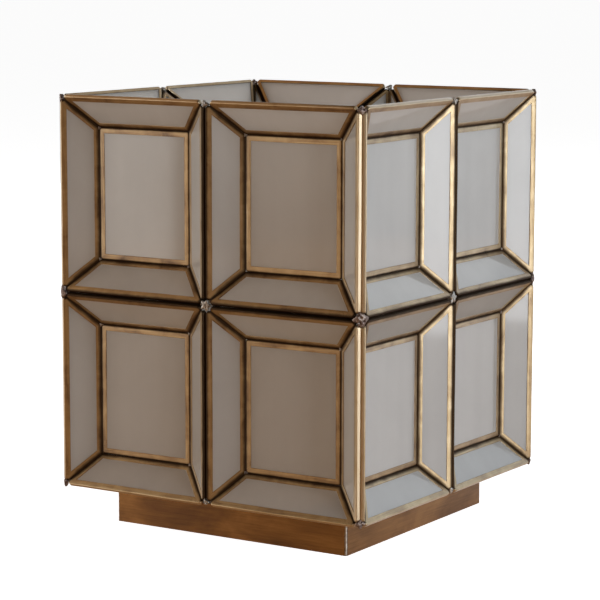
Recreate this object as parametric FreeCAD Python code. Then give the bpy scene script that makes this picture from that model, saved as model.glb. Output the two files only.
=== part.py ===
"""Square open-topped candle lantern of frosted glass panes in soldered brass came, on a low brass plinth.

Each of the four walls holds two columns and two rows of identical cells. A cell is a shallow inverted
pyramid: a flat centre pane set back from the wall's outer plane, and four trapezoid panes that slope out
from it. Every pane sits in its own folded brass channel, or came. The cames are soldered edge to edge.

Frame: origin at the centre of the underside, +Z up, front wall towards -Y. Units are millimetres.
"""

import FreeCAD
import Part
import math
import os

Vector = FreeCAD.Vector

# Driving dimensions
BODY_WIDTH = 200.0  # between the outer planes of two opposite walls
BODY_HEIGHT = 222.0  # from the top of the plinth to the rim
PLINTH_HEIGHT = 22.5
PLINTH_INSET = 23.4  # from the wall's outer plane in to the plinth
FACET_INSET = 17.3  # from a cell's outer edge in to its centre pane, seen square on
RECESS_DEPTH = 12.8  # how far the centre pane is set back

CAME_THICKNESS = 2.6  # across the channel, square to the glass
CAME_WIDTH = 3.35  # from the channel's back to the edge of its outer leg
CAME_INNER_WIDTH = 2.2  # and to the edge of its inner leg
CAME_SHEET = 0.4  # brass sheet that the channel is folded from
CAME_BEND = 0.6  # outer radius of the channel's folds
CAME_CORNER = 1.5  # radius of the came's corners, seen square to the glass
TIP_CUT = 2.8  # length trimmed off the sharp ends of each sloping pane, along both its edges
GLASS_INSET = 0.8  # from the back of the channel in to the edge of the glass

FLOOR_THICKNESS = 1.0
FLOOR_CORNER_CUT = 6.0
FLOOR_CLEARANCE = 0.5  # between the floor's edge and the cames beside it
PLINTH_SHEET = 1.2
PLINTH_BOTTOM_THICKNESS = 1.0

BUTTON_RADIUS = 3.0  # solder where four cells meet in a wall
BUTTON_THICKNESS = 1.8
BUTTON_DEPTH = 0.5  # from the wall's outer plane in to the button's face
BUTTON_ROUNDING = 0.8
RIM_BEAD_RADIUS = 1.55  # solder where two cells meet at the rim or the lower edge
RIM_BEAD_DEPTH = 1.7
CORNER_BEAD_RADIUS = 2.4  # solder in the upright corner between two walls, halfway up
CORNER_END_BEAD_RADIUS = 1.4  # the same at the rim and the lower edge
CORNER_BEAD_DEPTH = 3.0

# Worked out from the driving dimensions
SLOPE = math.atan2(RECESS_DEPTH, FACET_INSET)  # of a sloping pane, from the wall's outer plane
MITRE_ANGLE = math.acos(math.cos(SLOPE) ** 2)  # between two sloping panes of a cell
BEND_DEPTH = CAME_THICKNESS - CAME_BEND  # from a came's outer face in to the centre of its inner fold
# Outer edge of a came to the boundary of its cell, where it touches the next cell's came
EDGE_GAP = CAME_BEND * (1 - math.cos(SLOPE)) + BEND_DEPTH * math.sin(SLOPE)
# Outer edge of a came to the outer plane of the next wall, whose came it touches in the corner
CORNER_GAP = (
    math.sqrt(2) * CAME_BEND
    + (CAME_THICKNESS - 2 * CAME_BEND) * math.cos(SLOPE)
    + CAME_THICKNESS * math.sin(SLOPE)
)
BACK_EDGE_DEPTH = CAME_THICKNESS * math.cos(SLOPE)  # of a sloping came's inner face, at its outer edge
CELL_WIDTH = (BODY_WIDTH - 2 * CORNER_GAP - 2 * EDGE_GAP) / 2
CELL_HEIGHT = (BODY_HEIGHT - 4 * EDGE_GAP) / 2
HALF_WIDTH = BODY_WIDTH / 2
BODY_TOP = PLINTH_HEIGHT + BODY_HEIGHT
BODY_MIDDLE = PLINTH_HEIGHT + BODY_HEIGHT / 2
PLINTH_HALF = HALF_WIDTH - PLINTH_INSET

WALLS = ("front", "right", "back", "left")  # each a quarter turn about +Z from the one before
COLUMNS = {"left": -1, "right": 1}  # as seen from outside
ROWS = {"lower": -1, "upper": 1}
UPRIGHT = Vector(0, 0, 1)
CUT_MARGIN = 1.0  # how far a cutting solid runs past what it cuts


def overrun(angle):
    """How far the rounded backs of two cames run past the line where the panes' faces meet, to touch."""
    return CAME_BEND * (1 - (1 - math.sin(angle / 2)) / math.cos(angle / 2))


def inset(points, distances):
    """A flat convex outline with side i, which leaves point i, moved in by distances[i]."""
    corners = []
    for i, point in enumerate(points):
        arriving = (point - points[i - 1]).normalize()
        leaving = (points[(i + 1) % len(points)] - point).normalize()
        turn = arriving.cross(leaving).Length
        corners.append(point + (leaving * distances[i - 1] - arriving * distances[i]) / turn)
    return corners


def inset_evenly(points, distance):
    return inset(points, [distance] * len(points))


def trim_tips(points, tips):
    """The outline with the named corners cut across, TIP_CUT along each of their two sides."""
    trimmed = []
    for i, point in enumerate(points):
        if i in tips:
            back = (points[i - 1] - point).normalize()
            ahead = (points[(i + 1) % len(points)] - point).normalize()
            trimmed += [point + back * TIP_CUT, point + ahead * TIP_CUT]
        else:
            trimmed.append(point)
    return trimmed


def prism(points, rise):
    """A flat outline pushed out along rise."""
    return Part.Face(Part.makePolygon(points + [points[0]])).extrude(rise)


def moved(points, offset):
    return [point + offset for point in points]


def runs_along(edge, direction):
    """Whether a straight edge, or a curved one's start, is parallel to the direction."""
    return abs(edge.tangentAt(edge.FirstParameter).dot(direction)) > 0.99


def framed_pane(corners, inward, overruns, tips=()):
    """The came round one pane, and the glass in it. The corners are where the outer face's plane meets
    its neighbours', and each side of the came runs on past them by its overrun."""
    whole = inset(corners, [-distance for distance in overruns])
    outline = trim_tips(whole, tips)
    channel = prism(outline, inward * CAME_THICKNESS)
    channel = channel.makeFillet(CAME_CORNER, [e for e in channel.Edges if runs_along(e, inward)])
    channel = channel.makeFillet(CAME_BEND, [e for e in channel.Edges if not runs_along(e, inward)])
    middle = CAME_THICKNESS / 2
    to_outer_face = moved(inset_evenly(whole, CAME_WIDTH), inward * middle)
    channel = channel.cut(prism(to_outer_face, inward * -(middle + CUT_MARGIN)))
    to_inner_face = moved(inset_evenly(whole, CAME_INNER_WIDTH), inward * middle)
    channel = channel.cut(prism(to_inner_face, inward * (middle + CUT_MARGIN)))
    glass = moved(inset_evenly(outline, GLASS_INSET), inward * CAME_SHEET)
    pane = prism(glass, inward * (CAME_THICKNESS - 2 * CAME_SHEET))
    return channel.cut(pane).Solids[0], pane


def center_pane():
    """The set-back pane of a cell that is centred on the origin, with its wall's outer plane at Y = 0."""
    half_width = CELL_WIDTH / 2 - FACET_INSET
    half_height = CELL_HEIGHT / 2 - FACET_INSET
    corners = [
        Vector(-half_width, RECESS_DEPTH, -half_height),
        Vector(half_width, RECESS_DEPTH, -half_height),
        Vector(half_width, RECESS_DEPTH, half_height),
        Vector(-half_width, RECESS_DEPTH, half_height),
    ]
    return framed_pane(corners, Vector(0, 1, 0), [overrun(SLOPE)] * 4)


def sloping_pane(half_length, half_other, upright):
    """The pane along the top of a cell or, if upright, the one along its right-hand side."""
    near = half_length - FACET_INSET
    far = half_other - FACET_INSET
    corners = [
        Vector(-half_length, 0, half_other),
        Vector(-near, RECESS_DEPTH, far),
        Vector(near, RECESS_DEPTH, far),
        Vector(half_length, 0, half_other),
    ]
    inward = Vector(0, math.cos(SLOPE), math.sin(SLOPE))
    overruns = [overrun(MITRE_ANGLE), overrun(SLOPE), overrun(MITRE_ANGLE), 0]
    came, glass = framed_pane(corners, inward, overruns, tips=(0, 3))
    for piece in (came, glass) if upright else ():
        piece.rotate(Vector(), Vector(0, 1, 0), 90)
    return came, glass


def turned_over(shape):
    """The same piece on the opposite side of its cell."""
    other = shape.copy()
    other.rotate(Vector(), Vector(0, 1, 0), 180)
    return other


def build_cell():
    """Cames, centre glass and sloping glass of one cell, centred on the origin."""
    center_came, center_glass = center_pane()
    top_came, top_glass = sloping_pane(CELL_WIDTH / 2, CELL_HEIGHT / 2, upright=False)
    side_came, side_glass = sloping_pane(CELL_HEIGHT / 2, CELL_WIDTH / 2, upright=True)
    cames = [center_came, top_came, turned_over(top_came), side_came, turned_over(side_came)]
    sloping_glass = [top_glass, turned_over(top_glass), side_glass, turned_over(side_glass)]
    return {"cames": cames, "center_pane": [center_glass], "sloping_panes": sloping_glass}


def placed_in_wall(shapes, wall, x, z):
    """Copies of shapes made against the plane Y = 0, set at x along a wall and z above the underside."""
    placed = []
    for shape in shapes:
        copy = shape.copy()
        copy.translate(Vector(x, -HALF_WIDTH, z))
        copy.rotate(Vector(), UPRIGHT, 90 * WALLS.index(wall))
        placed.append(copy)
    return placed


def build_cells():
    """Every cell's nodes, named by wall, row and column."""
    cell = build_cell()
    nodes = {}
    for wall in WALLS:
        for row, up in ROWS.items():
            for column, along in COLUMNS.items():
                x = along * (CELL_WIDTH / 2 + EDGE_GAP)
                z = BODY_MIDDLE + up * (CELL_HEIGHT / 2 + EDGE_GAP)
                for kind, shapes in cell.items():
                    nodes[f"{wall}_{row}_{column}_{kind}"] = placed_in_wall(shapes, wall, x, z)
    return nodes


def bead(radius, depth):
    return Part.makeSphere(radius, Vector(0, depth, 0))


def button():
    """A flat round drop of solder, facing out of the wall."""
    drop = Part.makeCylinder(BUTTON_RADIUS, BUTTON_THICKNESS, Vector(0, BUTTON_DEPTH, 0), Vector(0, 1, 0))
    return drop.makeFillet(BUTTON_ROUNDING, [edge for edge in drop.Edges if len(edge.Vertexes) == 1])


def build_solder():
    """Solder where cells meet within a wall, and where two walls meet at an upright corner."""
    cell_joints = {
        BODY_TOP - RIM_BEAD_RADIUS: bead(RIM_BEAD_RADIUS, RIM_BEAD_DEPTH),
        BODY_MIDDLE: button(),
        PLINTH_HEIGHT + RIM_BEAD_RADIUS: bead(RIM_BEAD_RADIUS, RIM_BEAD_DEPTH),
    }
    corner_joints = {
        BODY_TOP - CORNER_END_BEAD_RADIUS: bead(CORNER_END_BEAD_RADIUS, CORNER_BEAD_DEPTH),
        BODY_MIDDLE: bead(CORNER_BEAD_RADIUS, CORNER_BEAD_DEPTH),
        PLINTH_HEIGHT + CORNER_END_BEAD_RADIUS: bead(CORNER_END_BEAD_RADIUS, CORNER_BEAD_DEPTH),
    }
    corner_x = HALF_WIDTH - CORNER_BEAD_DEPTH
    nodes = {"cell_solder_joints": [], "corner_solder_joints": []}
    for wall in WALLS:
        for z, drop in cell_joints.items():
            nodes["cell_solder_joints"] += placed_in_wall([drop], wall, 0, z)
        for z, drop in corner_joints.items():
            nodes["corner_solder_joints"] += placed_in_wall([drop], wall, corner_x, z)
    return nodes


def build_floor():
    """The brass sheet that closes the bottom of the body and lies on the plinth."""
    half = HALF_WIDTH - BACK_EDGE_DEPTH - FLOOR_THICKNESS * math.tan(SLOPE) - FLOOR_CLEARANCE
    plate = Part.makeBox(2 * half, 2 * half, FLOOR_THICKNESS, Vector(-half, -half, PLINTH_HEIGHT))
    return plate.makeChamfer(FLOOR_CORNER_CUT, [e for e in plate.Edges if runs_along(e, UPRIGHT)])


def build_plinth():
    """Four sheet walls, the solder down their corners, and the sheet that closes the underside."""
    inner = PLINTH_HALF - PLINTH_SHEET
    strip = Part.makeBox(2 * inner, PLINTH_SHEET, PLINTH_HEIGHT, Vector(-inner, -PLINTH_HALF, 0))
    seam = Part.makeCylinder(PLINTH_SHEET, PLINTH_HEIGHT, Vector(inner, -inner, 0), UPRIGHT, 90)
    seam.rotate(Vector(inner, -inner, 0), UPRIGHT, -90)
    nodes = {}
    seams = []
    for quarter, wall in enumerate(WALLS):
        side = strip.copy()
        side.rotate(Vector(), UPRIGHT, 90 * quarter)
        nodes[f"plinth_{wall}"] = [side]
        corner = seam.copy()
        corner.rotate(Vector(), UPRIGHT, 90 * quarter)
        seams.append(corner)
    bottom = Part.makeBox(2 * inner, 2 * inner, PLINTH_BOTTOM_THICKNESS, Vector(-inner, -inner, 0))
    nodes["plinth_corner_seams"] = seams
    nodes["plinth_bottom"] = [bottom]
    return nodes


def main():
    nodes = build_cells()
    nodes.update(build_solder())
    nodes["floor_plate"] = [build_floor()]
    nodes.update(build_plinth())
    os.makedirs("parts", exist_ok=True)
    for name, solids in nodes.items():
        shape = solids[0] if len(solids) == 1 else Part.makeCompound(solids)
        shape.exportStep(f"parts/{name}.step")


main()
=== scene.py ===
"""The looks of the faceted glass and brass lantern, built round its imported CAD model, in metres."""

import math
import random
from collections import namedtuple

import bmesh
import bpy
from mathutils import Matrix, Quaternion, Vector, noise


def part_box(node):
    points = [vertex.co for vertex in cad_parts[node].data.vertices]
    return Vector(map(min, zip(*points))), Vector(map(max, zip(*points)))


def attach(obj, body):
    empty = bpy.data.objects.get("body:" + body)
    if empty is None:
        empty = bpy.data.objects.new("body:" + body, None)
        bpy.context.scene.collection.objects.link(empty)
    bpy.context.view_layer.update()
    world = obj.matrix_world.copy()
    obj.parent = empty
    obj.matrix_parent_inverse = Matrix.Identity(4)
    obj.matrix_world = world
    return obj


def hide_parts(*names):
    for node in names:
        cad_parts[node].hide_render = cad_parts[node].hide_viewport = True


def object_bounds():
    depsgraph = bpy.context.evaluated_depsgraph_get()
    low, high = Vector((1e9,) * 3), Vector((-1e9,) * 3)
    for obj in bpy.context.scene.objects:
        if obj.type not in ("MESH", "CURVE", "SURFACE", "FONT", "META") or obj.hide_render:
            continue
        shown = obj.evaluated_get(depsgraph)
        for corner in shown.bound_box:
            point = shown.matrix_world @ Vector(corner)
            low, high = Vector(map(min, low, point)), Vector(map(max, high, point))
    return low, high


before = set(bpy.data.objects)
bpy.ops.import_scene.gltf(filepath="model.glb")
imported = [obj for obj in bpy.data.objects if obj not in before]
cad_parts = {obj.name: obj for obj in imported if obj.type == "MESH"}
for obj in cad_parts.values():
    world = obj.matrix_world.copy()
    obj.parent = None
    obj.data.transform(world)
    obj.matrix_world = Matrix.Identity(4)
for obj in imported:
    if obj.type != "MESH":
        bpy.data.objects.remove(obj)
cad_box = [list(corner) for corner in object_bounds()]

MM = 0.001

# The CAD model's driving dimensions, read from the frame or repeated from the CAD script
HALF_WIDTH = cad_box[1][0]
BODY_TOP = cad_box[1][2]
PLINTH_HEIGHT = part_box("plinth_front")[1].z
FACET_INSET = 17.3 * MM
RECESS_DEPTH = 12.8 * MM
CAME_THICKNESS = 2.6 * MM
CAME_WIDTH = 3.35 * MM
CAME_INNER_WIDTH = 2.2 * MM
CAME_SHEET = 0.4 * MM
CAME_BEND = 0.6 * MM
CAME_CORNER = 1.5 * MM
TIP_CUT = 2.8 * MM

# Worked out from them as in the CAD model
SLOPE = math.atan2(RECESS_DEPTH, FACET_INSET)
MITRE_ANGLE = math.acos(math.cos(SLOPE) ** 2)
EDGE_GAP = CAME_BEND * (1 - math.cos(SLOPE)) + (CAME_THICKNESS - CAME_BEND) * math.sin(SLOPE)
CORNER_GAP = (
    math.sqrt(2) * CAME_BEND
    + (CAME_THICKNESS - 2 * CAME_BEND) * math.cos(SLOPE)
    + CAME_THICKNESS * math.sin(SLOPE)
)
CELL_WIDTH = HALF_WIDTH - CORNER_GAP - EDGE_GAP
CELL_HEIGHT = (BODY_TOP - PLINTH_HEIGHT - 4 * EDGE_GAP) / 2
BODY_MIDDLE = (BODY_TOP + PLINTH_HEIGHT) / 2

# How the cames are meshed
LIP_BEVEL = 0.12 * MM  # rounding of the channel's cut edges
LEG_CLEARANCE = 0.02 * MM  # between a leg and the glass
CHANNEL_FLOOR = 0.6 * MM  # from the channel's back in to the hollow inside it
BEND_STEPS = 6
CORNER_STATIONS = 5
STATION_SPACING = 6 * MM

# Hand work
WARP = 0.16 * MM  # how far the whole body strays from true
WARP_SCALE = 18.0  # bends per metre
DENT = 0.07 * MM  # how far each came strays on its own
DENT_SCALE = 95.0

# Painted shade, near black, in and beside the grooves between cames
SHADE_REACH = 1.2 * MM  # how far it spreads from a groove over the came's face
DEEP_SHADE_REACH = 2.6 * MM  # and down round the centre pane
INNER_SHADE_REACH = 0.9 * MM  # and on the inner side
DEEP_START = 0.3 * MM  # how far down in a cell the reach starts to grow
DEEP_RUN = 3 * MM  # and over what depth it grows
EDGE_PAST_SHADE = 1.6  # counts as this many reaches away, which is past all painted shade
EDGE_MARGIN = 2.2 * MM  # height of the came's back along the rim and the lower edge

# Solder drops, seen square on: how far their arms reach, the solid part between the arms, and their height
Drop = namedtuple("Drop", "reach valley thickness arms")
WALL_STAR = Drop(3.7 * MM, 2.3 * MM, 0.9 * MM, 5)
END_DROP = Drop(2.2 * MM, 1.4 * MM, 1.1 * MM, 3)
CORNER_STAR = Drop(4.6 * MM, 3.1 * MM, 1.3 * MM, 4)
SPOT = Drop(1.5 * MM, 0.8 * MM, 0.5 * MM, 3)
STAR_DEPTH = 1.35 * MM  # from the wall's outer plane in to the drop's middle
END_DROP_DEPTH = 1.5 * MM
CORNER_STAR_DEPTH = 3.1 * MM  # from the corner of the body's box in to the drop's middle
CORNER_END_SCALE = 0.62  # of a corner's drops at the rim and the lower edge
SPOT_RISE = 0.25 * MM  # how far a spot's middle stands out from the centre pane's came
SPOT_SIZES = (0.45, 1.0)
BARE_SHARE = 0.35  # of the centre panes' corners, which have no spot
MOST_STAR_PITS = 1
END_PITS = 2
CORNER_PITS = 3

# How uneven the drops are
ROOT_DEPTH = 2.3  # how much further a drop reaches in than out
DROP_TURN = 0.25  # radians, either way
DROP_BLUNTNESS = 0.75  # a power below 1, which makes the drop's rim blunter
DROP_WOBBLE = 0.3  # share of its outline
WOBBLE_SCALE = 1.7
DROP_LUMPS = 0.22  # share of its thickness
LUMP_SCALE = 0.9  # lumps per millimetre
PIT_DEPTH = 1.1  # share of its thickness
PIT_PLACES = (0.35, 0.8)  # shares of the solid part, out from the middle
PIT_SIZES = (0.16, 0.24)  # shares of the solid part
SEAM_SWELL = 0.1  # share of a plinth seam's radius
SEAM_SCALE = 420  # swells per metre

# Seeds of the random draws
CAME_SEED = 7
SOLDER_SEED = 11

SQUARE = ((-1, -1), (1, -1), (1, 1), (-1, 1))
WALLS = ("front", "right", "back", "left")
COLUMNS = {"left": -1, "right": 1}
ROWS = {"lower": -1, "upper": 1}


# Outlines of the panes

def overrun(angle):
    """How far the rounded backs of two cames run past the line where the panes' faces meet, to touch."""
    return CAME_BEND * (1 - (1 - math.sin(angle / 2)) / math.cos(angle / 2))


def inset(points, distances):
    """A flat convex outline with side i, which leaves point i, moved in by distances[i]."""
    corners = []
    for i, point in enumerate(points):
        arriving = (point - points[i - 1]).normalized()
        leaving = (points[(i + 1) % len(points)] - point).normalized()
        turn = arriving.cross(leaving).length
        corners.append(point + (leaving * distances[i - 1] - arriving * distances[i]) / turn)
    return corners


class Outline:
    """The outer edge of one came, with some of its corners cut across."""

    def __init__(self, corners, overruns, tips):
        self.whole = inset(corners, [-distance for distance in overruns])
        self.cut = []
        self.source = []  # for each corner of the cut outline, its corner in the whole one
        for i, point in enumerate(self.whole):
            if i in tips:
                back = (self.whole[i - 1] - point).normalized()
                ahead = (self.whole[(i + 1) % len(self.whole)] - point).normalized()
                self.cut += [point + back * TIP_CUT, point + ahead * TIP_CUT]
                self.source += [i, i]
            else:
                self.cut.append(point)
                self.source.append(i)
        middle = sum(self.whole, Vector()) / len(self.whole)
        self.outward = []
        for i, point in enumerate(self.cut):
            along = (self.cut[(i + 1) % len(self.cut)] - point).normalized()
            away = point - middle
            self.outward.append((away - along * away.dot(along)).normalized())

    def corners_in(self, distance):
        """The corners with every side moved in; where a cut tip has closed up, its two corners are one."""
        places = inset(self.cut, [distance] * len(self.cut))
        full = inset(self.whole, [distance] * len(self.whole))
        for i, source in enumerate(self.source):
            j = (i + 1) % len(self.cut)
            closed = (places[j] - places[i]).dot(self.cut[j] - self.cut[i]) <= 0
            if self.source[j] == source and closed:
                places[i] = places[j] = full[source]
        return places

    def path(self, distance):
        """Points round the outline moved in by distance: its rounded corners, and stations between them."""
        centers = self.corners_in(max(distance, CAME_CORNER))
        radius = max(CAME_CORNER - distance, 0)
        points = []
        for i, center in enumerate(centers):
            j = (i + 1) % len(centers)
            before, after = self.outward[i - 1], self.outward[i]
            for k in range(CORNER_STATIONS):
                points.append(center + before.slerp(after, k / (CORNER_STATIONS - 1)) * radius)
            start, end = center + after * radius, centers[j] + after * radius
            steps = max(1, round((self.cut[j] - self.cut[i]).length / STATION_SPACING))
            points += [start.lerp(end, k / steps) for k in range(1, steps)]
        return points


# Folded brass channel

def channel_section():
    """The channel's section, as (in from its back, down from its outer face), all round."""
    bend = [math.pi / 2 * k / BEND_STEPS for k in range(BEND_STEPS + 1)]
    lip = CAME_SHEET - LEG_CLEARANCE
    fold = [(CAME_BEND * (1 - math.sin(a)), CAME_BEND * (1 - math.cos(a))) for a in bend]
    halves = []
    for width in (CAME_WIDTH, CAME_INNER_WIDTH):
        leg = [(width, lip), (width, LIP_BEVEL), (width - LIP_BEVEL, 0), ((width + CAME_BEND) / 2, 0)]
        halves.append(leg + fold)
    inner_half = [(x, CAME_THICKNESS - y) for x, y in reversed(halves[1])]
    hollow = [(CHANNEL_FLOOR, CAME_THICKNESS - lip), (CHANNEL_FLOOR, lip)]
    return halves[0] + inner_half + hollow


SECTION = channel_section()


def came_mesh(outline, inward):
    """Vertices, faces, and for each vertex (along the came, across it, distance in from the back, depth from
    the outer side), of one closed channel."""
    vertices, faces, strip, rows = [], [], [], []
    across = 0
    for s, (distance, depth) in enumerate(SECTION):
        if s:
            across += math.dist(SECTION[s], SECTION[s - 1])
        found = {}
        row = []
        along = 0
        last = None
        for point in outline.path(distance):
            place = point + inward * depth
            along += (place - last).length if last else 0
            last = place
            key = tuple(round(c / MM, 4) for c in place)
            if key not in found:
                found[key] = len(vertices)
                vertices.append(place)
                strip.append((along, across, distance, depth))
            row.append(found[key])
        rows.append(row)
    for a, b in zip(rows, rows[1:] + rows[:1]):
        for k in range(len(a)):
            n = (k + 1) % len(a)
            face = list(dict.fromkeys((a[k], a[n], b[n], b[k])))
            if len(face) > 2:
                faces.append(face)
    return vertices, faces, strip


def center_came():
    """The came of a cell's centre pane."""
    half_width = CELL_WIDTH / 2 - FACET_INSET
    half_height = CELL_HEIGHT / 2 - FACET_INSET
    corners = [Vector((x * half_width, RECESS_DEPTH, z * half_height)) for x, z in SQUARE]
    return came_mesh(Outline(corners, [overrun(SLOPE)] * 4, ()), Vector((0, 1, 0)))


def sloping_came(half_length, half_other, turn):
    """The came of the pane along the top of a cell, turned about Y to the side it is for."""
    near, far = half_length - FACET_INSET, half_other - FACET_INSET
    corners = [
        Vector((-half_length, 0, half_other)),
        Vector((-near, RECESS_DEPTH, far)),
        Vector((near, RECESS_DEPTH, far)),
        Vector((half_length, 0, half_other)),
    ]
    inward = Vector((0, math.cos(SLOPE), math.sin(SLOPE)))
    overruns = [overrun(MITRE_ANGLE), overrun(SLOPE), overrun(MITRE_ANGLE), 0]
    vertices, faces, strip = came_mesh(Outline(corners, overruns, (0, 3)), inward)
    spin = Matrix.Rotation(math.radians(turn), 3, "Y")
    return [spin @ v for v in vertices], faces, strip


def in_box(point):
    """The point, kept inside the CAD model's box."""
    return Vector([min(max(c, low), high) for c, low, high in zip(point, *cad_box)])


def stray(place, seed):
    """A point of hand work, shifted a little with its neighbours and a little on its own."""
    together = noise.noise_vector(place * WARP_SCALE) * WARP
    alone = noise.noise_vector(place * DENT_SCALE + Vector((seed, 0, 0))) * DENT
    return in_box(place + together + alone)


def to_wall(wall, x, z):
    """From a cell or joint made against the plane Y = 0, facing -Y, to its place in a wall."""
    turn = Matrix.Rotation(math.pi / 2 * WALLS.index(wall), 4, "Z")
    return turn @ Matrix.Translation((x, -HALF_WIDTH, z))


def cell_centers():
    """Each cell of a wall: its name, and where its middle is across the wall and up."""
    for row, up in ROWS.items():
        for column, side in COLUMNS.items():
            x = side * (CELL_WIDTH / 2 + EDGE_GAP)
            z = BODY_MIDDLE + up * (CELL_HEIGHT / 2 + EDGE_GAP)
            yield f"{row}_{column}", x, z


def link_mesh(name, vertices, faces, attributes, sharp_angle):
    """A new object riding on the root body. attributes are {name: one number or vector for each vertex}."""
    mesh = bpy.data.meshes.new(name)
    mesh.from_pydata([tuple(v) for v in vertices], [], faces)
    for key, values in attributes.items():
        vector = isinstance(values[0], tuple)
        attribute = mesh.attributes.new(key, "FLOAT_VECTOR" if vector else "FLOAT", "POINT")
        flat = [c for value in values for c in value] if vector else values
        attribute.data.foreach_set("vector" if vector else "value", flat)
    mesh.validate()
    mesh.shade_smooth()
    mesh.set_sharp_from_angle(angle=math.radians(sharp_angle))
    piece = bpy.data.objects.new(name, mesh)
    bpy.context.scene.collection.objects.link(piece)
    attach(piece, "root")
    return piece


def fix_normals(piece):
    """Turns the mesh's faces outward."""
    bm = bmesh.new()
    bm.from_mesh(piece.data)
    bmesh.ops.recalc_face_normals(bm, faces=bm.faces)
    bm.to_mesh(piece.data)
    bm.free()


def is_at_wall_edge(point):
    """Whether a point lies along the rim, the lower edge or an upright corner, where a came's back shows."""
    across = min(abs(point.x), abs(point.y))
    near_rim = point.z > BODY_TOP - EDGE_MARGIN or point.z < PLINTH_HEIGHT + EDGE_MARGIN
    return near_rim or across > HALF_WIDTH - CORNER_GAP - CAME_BEND


def groove_shade_distance(point, distance, depth, at_edge, slopes):
    """How far a point of a came is from the groove beside it, in reaches of the painted shade there."""
    if at_edge:
        return EDGE_PAST_SHADE
    if depth > CAME_THICKNESS / 2:
        return distance / INNER_SHADE_REACH
    deep = min(1, max(0, (point.y - DEEP_START) / DEEP_RUN)) if slopes else 0
    return distance / (SHADE_REACH + (DEEP_SHADE_REACH - SHADE_REACH) * deep)


def cell_cames(place, channels, chance):
    """One cell's channels in their place: vertices, faces, and what the material reads at each vertex."""
    vertices, faces = [], []
    attributes = {"strip": [], "tint": [], "open_back": [], "clear_of_shade": []}
    for number, (points, polygons, strip) in enumerate(channels):
        seed = chance.uniform(0, 100)
        shade = chance.random()
        slopes = number > 0
        first = len(vertices)
        vertices += [stray(place @ p, seed) for p in points]
        faces += [[first + i for i in polygon] for polygon in polygons]
        for point, (along, across, distance, depth) in zip(points, strip):
            at_edge = is_at_wall_edge(place @ point)
            attributes["strip"].append((along, across, seed * MM))
            attributes["tint"].append(shade)
            attributes["open_back"].append(max(0.0, 1 - distance / CAME_BEND) if at_edge else 0.0)
            # distance from the groove, which sets where the painted groove shade falls
            attributes["clear_of_shade"].append(groove_shade_distance(point, distance, depth, at_edge, slopes))
    return vertices, faces, attributes


def add_cames(material):
    """The five folded channels of each cell: the centre pane's, then those of the four sloping panes."""
    half_width, half_height = CELL_WIDTH / 2, CELL_HEIGHT / 2
    channels = [
        center_came(),
        sloping_came(half_width, half_height, 0),
        sloping_came(half_width, half_height, 180),
        sloping_came(half_height, half_width, 90),
        sloping_came(half_height, half_width, 270),
    ]
    chance = random.Random(CAME_SEED)
    noise.seed_set(CAME_SEED)  # noise_vector, which stray uses, starts anywhere until it is seeded
    for wall in WALLS:
        for cell, x, z in cell_centers():
            vertices, faces, attributes = cell_cames(to_wall(wall, x, z), channels, chance)
            name = f"{wall}_{cell}"
            piece = link_mesh(f"{name}_folded_cames", vertices, faces, attributes, sharp_angle=35)
            fix_normals(piece)
            piece.data.materials.append(material)
            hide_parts(f"{name}_cames")


# Solder

def resized(drop, across, rise):
    return Drop(drop.reach * across, drop.valley * across, drop.thickness * rise, drop.arms)


def blob(place, drop, pits, chance, rings=14, spokes=40):
    """A closed drop of solder facing -Y of its place, star-shaped, lumpy and pitted: its points and faces."""
    reach, valley, thickness, arms = drop
    seed = Vector([chance.uniform(0, 50) for _ in range(3)])
    turn = chance.uniform(-DROP_TURN, DROP_TURN)
    holes = []
    for _ in range(pits):
        angle = chance.uniform(0, 2 * math.pi)
        out = chance.uniform(*PIT_PLACES) * valley
        holes.append((out * math.cos(angle), out * math.sin(angle), chance.uniform(*PIT_SIZES) * valley))
    points = []
    for i in range(rings + 1):
        polar = math.pi * i / rings
        for j in range(spokes if 0 < i < rings else 1):
            angle = 2 * math.pi * j / spokes
            arm = abs(math.cos(arms / 2 * (angle + turn))) ** 3
            wobble = noise.noise(seed + Vector((math.cos(angle), math.sin(angle), 0)) * WOBBLE_SCALE)
            outline = (valley + (reach - valley) * arm) * (1 + DROP_WOBBLE * wobble)
            out = outline * math.sin(polar) ** DROP_BLUNTNESS
            x, z = out * math.cos(angle), out * math.sin(angle)
            y = -thickness * math.cos(polar)
            if polar > math.pi / 2:
                y *= ROOT_DEPTH
            if polar < math.pi / 2:
                lump = noise.noise(seed + Vector((x, 0, z)) * LUMP_SCALE / MM)
                y += thickness * DROP_LUMPS * lump
                for hole_x, hole_z, radius in holes:
                    apart = math.hypot(x - hole_x, z - hole_z) / radius
                    y += thickness * PIT_DEPTH * math.exp(-(apart ** 2))
            points.append(in_box(place @ Vector((x, y, z))))
    faces = []
    for i in range(rings):
        for j in range(spokes):
            n = (j + 1) % spokes
            top, bottom = 1 + (i - 1) * spokes, 1 + i * spokes
            if i == 0:
                faces.append((0, 1 + n, 1 + j))
            elif i == rings - 1:
                faces.append((top + j, top + n, len(points) - 1))
            else:
                faces.append((top + j, top + n, bottom + n, bottom + j))
    return points, faces


def add_solder_piece(name, drops, dullness, material, *nodes):
    """One piece of many drops, more or less dull, which may stand for CAD nodes."""
    vertices, faces = [], []
    for points, polygons in drops:
        first = len(vertices)
        vertices += points
        faces += [[first + i for i in polygon] for polygon in polygons]
    piece = link_mesh(name, vertices, faces, {"dull": [dullness] * len(vertices)}, sharp_angle=180)
    fix_normals(piece)
    piece.data.materials.append(material)
    if nodes:
        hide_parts(*nodes)


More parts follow.
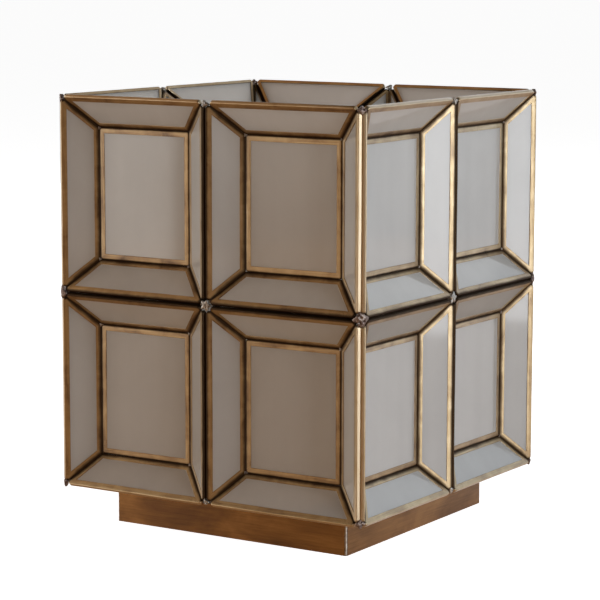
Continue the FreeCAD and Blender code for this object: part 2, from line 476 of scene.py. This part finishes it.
def add_solder(material):
    """The drops where cells meet, in the walls and the upright corners, and spots round centre panes."""
    chance = random.Random(SOLDER_SEED)
    cell_drops, corner_drops, inner_drops = [], [], []
    ends = (BODY_TOP - END_DROP.reach, PLINTH_HEIGHT + END_DROP.reach)
    for wall in WALLS:
        middle = to_wall(wall, 0, BODY_MIDDLE) @ Matrix.Translation((0, STAR_DEPTH, 0))
        cell_drops.append(blob(middle, WALL_STAR, chance.randrange(MOST_STAR_PITS + 1), chance))
        for z in ends:
            end = to_wall(wall, 0, z) @ Matrix.Translation((0, END_DROP_DEPTH, 0))
            cell_drops.append(blob(end, END_DROP, END_PITS, chance))
        for z in (BODY_MIDDLE, *ends):
            scale = 1.0 if z == BODY_MIDDLE else CORNER_END_SCALE
            corner = to_wall(wall, HALF_WIDTH, z) @ Matrix.Rotation(math.pi / 4, 4, "Z")
            corner @= Matrix.Translation((0, CORNER_STAR_DEPTH, 0))
            corner_drops.append(blob(corner, resized(CORNER_STAR, scale, scale), CORNER_PITS, chance))
        for _, x, z in cell_centers():
            for across, above in SQUARE:
                if chance.random() < BARE_SHARE:
                    continue
                size = chance.uniform(*SPOT_SIZES)
                spot_x = x + across * (CELL_WIDTH / 2 - FACET_INSET)
                spot_z = z + above * (CELL_HEIGHT / 2 - FACET_INSET)
                spot = to_wall(wall, spot_x, spot_z)
                spot @= Matrix.Translation((0, RECESS_DEPTH - SPOT_RISE, 0))
                inner_drops.append(blob(spot, resized(SPOT, size, 1), 0, chance, rings=8, spokes=18))
    add_solder_piece("cell_joint_stars", cell_drops, 0.0, material, "cell_solder_joints")
    add_solder_piece("corner_joint_stars", corner_drops, 1.0, material, "corner_solder_joints")
    add_solder_piece("inner_corner_solder", inner_drops, 0.5, material)


def add_plinth_seams(material):
    """A thin uneven bead of solder down each corner of the plinth."""
    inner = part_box("plinth_bottom")[1].x
    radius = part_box("plinth_corner_seams")[1].x - inner
    levels, steps = 26, 6
    drops = []
    for quarter in range(4):
        turn = Matrix.Rotation(math.pi / 2 * quarter, 4, "Z")
        points, faces = [], []
        for i in range(levels + 1):
            z = PLINTH_HEIGHT * i / levels
            for k in range(steps + 1):
                angle = -math.pi / 2 + math.pi / 2 * k / steps
                swell = noise.noise(Vector((quarter * 9.0, k * 0.6, z * SEAM_SCALE)))
                out = radius * (1 - SEAM_SWELL + SEAM_SWELL * swell)
                x, y = inner + out * math.cos(angle), -inner + out * math.sin(angle)
                points.append(turn @ Vector((x, y, z)))
            points.append(turn @ Vector((inner, -inner, z)))
        count = steps + 2
        for i in range(levels):
            for k in range(count):
                n = (k + 1) % count
                faces.append((i * count + k, i * count + n, (i + 1) * count + n, (i + 1) * count + k))
        faces.append(list(range(count)))
        faces.append([levels * count + k for k in reversed(range(count))])
        drops.append((points, faces))
    add_solder_piece("plinth_seam_beads", drops, 0.0, material, "plinth_corner_seams")


# Materials

# Colours, in linear light
BROWNED_BRASS = (0.14, 0.080, 0.035)
AGED_BRASS = (0.32, 0.205, 0.092)
GOLDEN_BRASS = (0.44, 0.310, 0.150)
RUBBED_BRASS = (0.55, 0.43, 0.27)
# painted shade: the near-black colour of the brass in the grooves between cames
GROOVE_SHADE_COLOR = (0.045, 0.027, 0.016)
DARK_SHEET = (0.105, 0.045, 0.011)
BROWN_SHEET = (0.195, 0.088, 0.021)
BRIGHT_SHEET = (0.29, 0.145, 0.040)
FLUX, GREY_SOLDER, BRIGHT_SOLDER = (0.12, 0.10, 0.085), (0.40, 0.37, 0.33), (0.58, 0.56, 0.52)
DULL_FLUX, DULL_SOLDER, WORN_SOLDER = (0.08, 0.053, 0.045), (0.21, 0.160, 0.143), (0.42, 0.35, 0.30)
DIM_GLASS, PALE_GLASS = (0.755, 0.745, 0.72), (0.835, 0.825, 0.80)
SCATTERED = 0.52  # share of the glass that passes light on, scattered


class Shader:
    """A material's nodes, added by short calls."""

    def __init__(self, name):
        self.material = bpy.data.materials.new(name)
        self.material.use_nodes = True
        self.tree = self.material.node_tree
        self.tree.nodes.clear()
        self.output = self.add("ShaderNodeOutputMaterial")
        self.coordinates = self.add("ShaderNodeTexCoord").outputs["Object"]

    def add(self, kind, **settings):
        node = self.tree.nodes.new(kind)
        for key, value in settings.items():
            setattr(node, key, value)
        return node

    def join(self, source, target):
        """Feeds an input from another node's output, or sets it to a plain number or colour."""
        if isinstance(source, bpy.types.NodeSocket):
            self.tree.links.new(source, target)
        else:
            target.default_value = source

    def noise(self, scale, detail=4, roughness=0.55, distortion=0, vector=None):
        node = self.add("ShaderNodeTexNoise")
        node.inputs["Scale"].default_value = scale
        node.inputs["Detail"].default_value = detail
        node.inputs["Roughness"].default_value = roughness
        node.inputs["Distortion"].default_value = distortion
        self.join(vector or self.coordinates, node.inputs["Vector"])
        return node.outputs["Fac"]

    def stretched(self, vector, scale):
        node = self.add("ShaderNodeVectorMath", operation="MULTIPLY")
        self.join(vector, node.inputs[0])
        node.inputs[1].default_value = scale
        return node.outputs["Vector"]

    def attribute(self, name, output):
        return self.add("ShaderNodeAttribute", attribute_name=name).outputs[output]

    def ramp(self, value, stops):
        node = self.add("ShaderNodeValToRGB")
        elements = node.color_ramp.elements
        while len(elements) < len(stops):
            elements.new(0.5)
        for element, (position, color) in zip(elements, stops):
            element.position = position
            element.color = (*color, 1) if isinstance(color, tuple) else (color, color, color, 1)
        self.join(value, node.inputs["Fac"])
        return node.outputs["Color"]

    def math(self, operation, first, second):
        node = self.add("ShaderNodeMath", operation=operation)
        self.join(first, node.inputs[0])
        self.join(second, node.inputs[1])
        return node.outputs["Value"]

    def mix(self, factor, first, second):
        node = self.add("ShaderNodeMix", data_type="RGBA")
        self.join(factor, node.inputs["Factor"])
        for value, target in ((first, node.inputs[6]), (second, node.inputs[7])):
            self.join((*value, 1) if isinstance(value, tuple) else value, target)
        return node.outputs[2]

    def bump(self, height, distance, normal=None):
        node = self.add("ShaderNodeBump")
        node.inputs["Distance"].default_value = distance
        self.join(height, node.inputs["Height"])
        if normal:
            self.join(normal, node.inputs["Normal"])
        return node.outputs["Normal"]

    def principled(self, color, metallic, roughness, normal, **values):
        node = self.add("ShaderNodeBsdfPrincipled")
        self.join(color, node.inputs["Base Color"])
        node.inputs["Metallic"].default_value = metallic
        self.join(roughness, node.inputs["Roughness"])
        self.join(normal, node.inputs["Normal"])
        for key, value in values.items():
            self.join(value, node.inputs[key.replace("_", " ").title().replace("Ior", "IOR")])
        return node.outputs["BSDF"]


def came_brass():
    """Brass channel with an aged finish: browned in streaks, rubbed bright on the backs that show, and
    with painted shade, near black, in and beside the grooves between two cames."""
    s = Shader("came_brass")
    streaks = s.noise(1.0, 5, 0.6, 0.4, s.stretched(s.attribute("strip", "Vector"), (45, 700, 3000)))
    blotches = s.noise(70, 6, 0.6, 0.6)
    wear = s.math("ADD", s.math("MULTIPLY", streaks, 0.5), s.math("MULTIPLY", blotches, 0.5))
    wear = s.math("ADD", wear, s.math("MULTIPLY", s.math("SUBTRACT", s.attribute("tint", "Fac"), 0.5), 0.12))
    wear = s.math("ADD", wear, s.math("MULTIPLY", s.attribute("open_back", "Fac"), 0.22))
    color = s.ramp(
        wear,
        [
            (0.30, BROWNED_BRASS),
            (0.42, AGED_BRASS),
            (0.54, GOLDEN_BRASS),
            (0.72, RUBBED_BRASS),
        ],
    )
    # Painted shade: near black in and beside the grooves between two cames, fading out over a came's face
    ragged = s.math("ADD", s.attribute("clear_of_shade", "Fac"), s.math("MULTIPLY", blotches, 0.5))
    shade_mask = s.ramp(s.math("MULTIPLY", ragged, 0.5), [(0.30, 0.95), (0.60, 0.0)])
    color = s.mix(shade_mask, color, GROOVE_SHADE_COLOR)
    roughness = s.ramp(s.math("SUBTRACT", wear, s.math("MULTIPLY", shade_mask, 0.5)), [(0.30, 0.52), (0.65, 0.36)])
    roughness = s.math("ADD", roughness, s.math("MULTIPLY", s.attribute("open_back", "Fac"), 0.08))
    grain = s.bump(s.noise(1500, 3, 0.6), 0.006 * MM)
    normal = s.bump(blotches, 0.03 * MM, grain)
    # the lacquer's gloss fades out under the painted groove shade
    shine = s.math("SUBTRACT", 0.9, shade_mask)
    lacquer = {"coat_weight": shine, "coat_roughness": 0.28, "coat_ior": 1.6}
    s.join(s.principled(color, 1.0, roughness, normal, **lacquer), s.output.inputs["Surface"])
    return s.material


def sheet_brass():
    """Brass sheet, browned unevenly, with faint rolling lines."""
    s = Shader("sheet_brass")
    patches = s.noise(1.0, 6, 0.6, 0.5, s.stretched(s.coordinates, (22, 22, 60)))
    lines = s.noise(1.0, 3, 0.5, 0, s.stretched(s.coordinates, (40, 40, 1100)))
    wear = s.math("ADD", s.math("MULTIPLY", patches, 0.75), s.math("MULTIPLY", lines, 0.25))
    color = s.ramp(wear, [(0.34, DARK_SHEET), (0.50, BROWN_SHEET), (0.66, BRIGHT_SHEET)])
    roughness = s.ramp(wear, [(0.35, 0.52), (0.65, 0.34)])
    normal = s.bump(wear, 0.08 * MM)
    lacquer = {"coat_weight": 0.5, "coat_roughness": 0.2, "coat_ior": 1.6}
    s.join(s.principled(color, 1.0, roughness, normal, **lacquer), s.output.inputs["Surface"])
    return s.material


def solder_metal():
    """Tin solder with brown flux in its hollows, darker and browner where its drops are marked dull."""
    s = Shader("solder")
    lumps = s.noise(520, 4, 0.6, 0.3)
    color = s.ramp(lumps, [(0.32, FLUX), (0.44, GREY_SOLDER), (0.62, BRIGHT_SOLDER)])
    dulled = s.ramp(lumps, [(0.30, DULL_FLUX), (0.46, DULL_SOLDER), (0.70, WORN_SOLDER)])
    color = s.mix(s.attribute("dull", "Fac"), color, dulled)
    roughness = s.ramp(lumps, [(0.3, 0.62), (0.6, 0.45)])
    normal = s.bump(lumps, 0.07 * MM)
    s.join(s.principled(color, 1.0, roughness, normal), s.output.inputs["Surface"])
    return s.material


def frosted_glass():
    """Glass frosted on its inner side: it scatters light, and has a smooth gloss."""
    s = Shader("frosted_glass")
    clouds = s.noise(14, 5, 0.6, 0.5)
    streaks = s.noise(1.0, 3, 0.5, 0, s.stretched(s.coordinates, (70, 70, 5)))
    tone = s.math("ADD", s.math("MULTIPLY", clouds, 0.65), s.math("MULTIPLY", streaks, 0.35))
    color = s.ramp(tone, [(0.35, DIM_GLASS), (0.65, PALE_GLASS)])
    roughness = s.ramp(tone, [(0.3, 0.36), (0.7, 0.28)])
    normal = s.bump(s.noise(25, 2, 0.5), 0.04 * MM)
    gloss = {"coat_weight": 1.0, "coat_roughness": 0.05, "coat_ior": 2.0}
    body = s.principled(color, 0.0, roughness, normal, specular_ior_level=0.6, **gloss)
    through = s.add("ShaderNodeBsdfTranslucent")
    s.join(color, through.inputs["Color"])
    blend = s.add("ShaderNodeMixShader")
    blend.inputs["Fac"].default_value = SCATTERED
    s.join(body, blend.inputs[1])
    s.join(through.outputs["BSDF"], blend.inputs[2])
    s.join(blend.outputs["Shader"], s.output.inputs["Surface"])
    return s.material


def floor_paint():
    """Matt, faintly uneven paint that glows near white."""
    s = Shader("floor_paint")
    tone = s.ramp(s.noise(3, 2), [(0.3, 0.86), (0.7, 0.88)])
    rough = s.ramp(s.noise(5, 2), [(0.3, 0.75), (0.7, 0.85)])
    normal = s.bump(s.noise(40, 2), 0.02 * MM)
    glow = {"emission_strength": FLOOR_GLOW, "specular_ior_level": 0.2}
    s.join(s.principled(tone, 0.0, rough, normal, **glow), s.output.inputs["Surface"])
    return s.material


def paint(node, material):
    """Gives a CAD node its finished material."""
    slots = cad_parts[node].data.materials
    for i in range(len(slots)):
        slots[i] = material
    if not len(slots):
        slots.append(material)


# Camera, lights and floor

def direction(azimuth, elevation):
    """From the lantern towards something at that azimuth, 0 being -Y and 90 being +X."""
    a, e = math.radians(azimuth), math.radians(elevation)
    return Vector((math.sin(a) * math.cos(e), -math.cos(a) * math.cos(e), math.sin(e)))


CAMERA_AIM = Vector((-1.2, -0.8, 124.6)) * MM
CAMERA_DISTANCE = 1.3818
CAMERA_AZIMUTH = 32.27
CAMERA_ELEVATION = 8.15
CAMERA_ROLL = 0.12
CAMERA_LENS = 143.96

FLOOR_HALF_SIZE = 40.0
FLOOR_GLOW = 0.96
ROOM_COLOR = (0.008, 0.007, 0.006, 1)
BACKDROP_COLOR = (0.97, 0.97, 0.97, 1)

# The lights: colours, and edges placed where their reflections should end
DAYLIGHT = (0.9, 0.95, 1.0)
SKYLIGHT = (0.8, 0.9, 1.0)
PALE_WALL = (1.0, 0.95, 0.9)
LAMPLIGHT = (1.0, 0.55, 0.25)
WINDOW_BOTTOM = -0.107  # metres; puts the window's reflected edge across the right wall's lower panes
LEFT_FILL_END = -34.6  # degrees; puts the left light's reflected edge between the front wall's two columns


def add_camera():
    """The camera, aimed at the middle of the view from its azimuth and elevation."""
    data = bpy.data.cameras.new("camera")
    data.lens = CAMERA_LENS
    camera = bpy.data.objects.new("camera", data)
    bpy.context.scene.collection.objects.link(camera)
    back = direction(CAMERA_AZIMUTH, CAMERA_ELEVATION)
    roll = Quaternion((0, 0, 1), math.radians(CAMERA_ROLL))
    camera.location = CAMERA_AIM + back * CAMERA_DISTANCE
    camera.rotation_mode = "QUATERNION"
    camera.rotation_quaternion = (-back).to_track_quat("-Z", "Y") @ roll
    bpy.context.scene.camera = camera


def add_light(name, shape, size, area, radiance, color, location, rotation):
    """A soft light. radiance is its brightness, with white paper at 1."""
    data = bpy.data.lights.new(name, "AREA")
    data.shape = shape
    data.size, data.size_y = size
    data.energy = radiance * math.pi * area
    data.color = color
    light = bpy.data.objects.new(name, data)
    bpy.context.scene.collection.objects.link(light)
    light.location = location
    light.rotation_mode = "QUATERNION"
    light.rotation_quaternion = rotation


def add_panel(name, azimuths, bottom, top, distance, radiance, color):
    """An upright light panel that faces the lantern, between two azimuths and two levels, in metres."""
    azimuth = sum(azimuths) / 2
    width = 2 * distance * math.tan(math.radians(abs(azimuths[1] - azimuths[0]) / 2))
    height = top - bottom
    toward = direction(azimuth, 0)
    location = toward * distance + Vector((0, 0, (bottom + top) / 2))
    rotation = toward.to_track_quat("Z", "Y")
    add_light(name, "RECTANGLE", (width, height), width * height, radiance, color, location, rotation)


def add_disc(name, center, radius, facing, radiance, color):
    """A flat round light, facing along a direction."""
    area = math.pi * radius**2
    size = (2 * radius, 2 * radius)
    add_light(name, "DISK", size, area, radiance, color, center, facing.to_track_quat("-Z", "Y"))


def add_world():
    """A dim room, with a plain white backdrop for the camera."""
    world = bpy.data.worlds.new("studio")
    bpy.context.scene.world = world
    world.use_nodes = True
    tree = world.node_tree
    tree.nodes.clear()
    room = tree.nodes.new("ShaderNodeBackground")
    room.inputs["Color"].default_value = ROOM_COLOR
    backdrop = tree.nodes.new("ShaderNodeBackground")
    backdrop.inputs["Color"].default_value = BACKDROP_COLOR
    path = tree.nodes.new("ShaderNodeLightPath")
    mix = tree.nodes.new("ShaderNodeMixShader")
    output = tree.nodes.new("ShaderNodeOutputWorld")
    tree.links.new(path.outputs["Is Camera Ray"], mix.inputs["Fac"])
    tree.links.new(room.outputs["Background"], mix.inputs[1])
    tree.links.new(backdrop.outputs["Background"], mix.inputs[2])
    tree.links.new(mix.outputs["Shader"], output.inputs["Surface"])


def add_floor():
    """A pale floor for the camera only: it throws no light back on the lantern."""
    mesh = bpy.data.meshes.new("studio_floor")
    corners = [(x * FLOOR_HALF_SIZE, y * FLOOR_HALF_SIZE, 0) for x, y in SQUARE]
    mesh.from_pydata(corners, [], [(0, 1, 2, 3)])
    mesh.materials.append(floor_paint())
    floor = bpy.data.objects.new("studio_floor", mesh)
    bpy.context.scene.collection.objects.link(floor)
    floor.visible_diffuse = False
    floor.visible_glossy = False
    floor.visible_transmission = False
    floor.visible_shadow = False


def add_studio():
    """The camera, the room, the floor and the lights."""
    add_camera()
    add_world()
    add_floor()
    add_panel("window", (66, 88), WINDOW_BOTTOM, 1.3, 1.5, 5.0, DAYLIGHT)
    add_panel("window_sill", (66, 88), -1.0, WINDOW_BOTTOM, 1.5, 1.5, SKYLIGHT)
    add_panel("left_fill", (-80, LEFT_FILL_END), -0.16, 1.3, 2.0, 2.0, PALE_WALL)
    add_panel("left_low", (-80, LEFT_FILL_END), -1.1, -0.16, 2.0, 0.5, PALE_WALL)
    add_panel("front_wall", (LEFT_FILL_END, 40), -0.16, 0.6, 2.0, 0.4, LAMPLIGHT)
    add_panel("right_fill", (125, 170), -0.4, 1.3, 2.0, 1.2, SKYLIGHT)
    add_panel("back_fill", (-175, -130), -0.4, 1.5, 2.0, 1.5, SKYLIGHT)
    add_panel("left_far", (-125, -80), -0.4, 1.3, 2.0, 1.0, SKYLIGHT)
    add_panel("back_table", (150, 210), -2.2, -0.6, 2.0, 0.5, SKYLIGHT)
    above_back = direction(160, 52)
    add_disc("ceiling", above_back * 1.5, 0.7, -above_back, 0.5, PALE_WALL)
    above_left = direction(-75, 52)
    add_disc("lamp", above_left * 1.5, 0.6, -above_left, 0.5, LAMPLIGHT)
    add_disc("table", Vector((0, 0, -3)) * MM, 1.5, Vector((0, 0, 1)), 0.3, LAMPLIGHT)
    bpy.context.scene.view_settings.view_transform = "Standard"


brass = came_brass()
sheet = sheet_brass()
solder = solder_metal()
glass = frosted_glass()
add_cames(brass)
add_solder(solder)
add_plinth_seams(solder)
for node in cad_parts:
    if node.endswith(("center_pane", "sloping_panes")):
        paint(node, glass)
    elif node.startswith("plinth") or node == "floor_plate":
        paint(node, sheet)
add_studio()
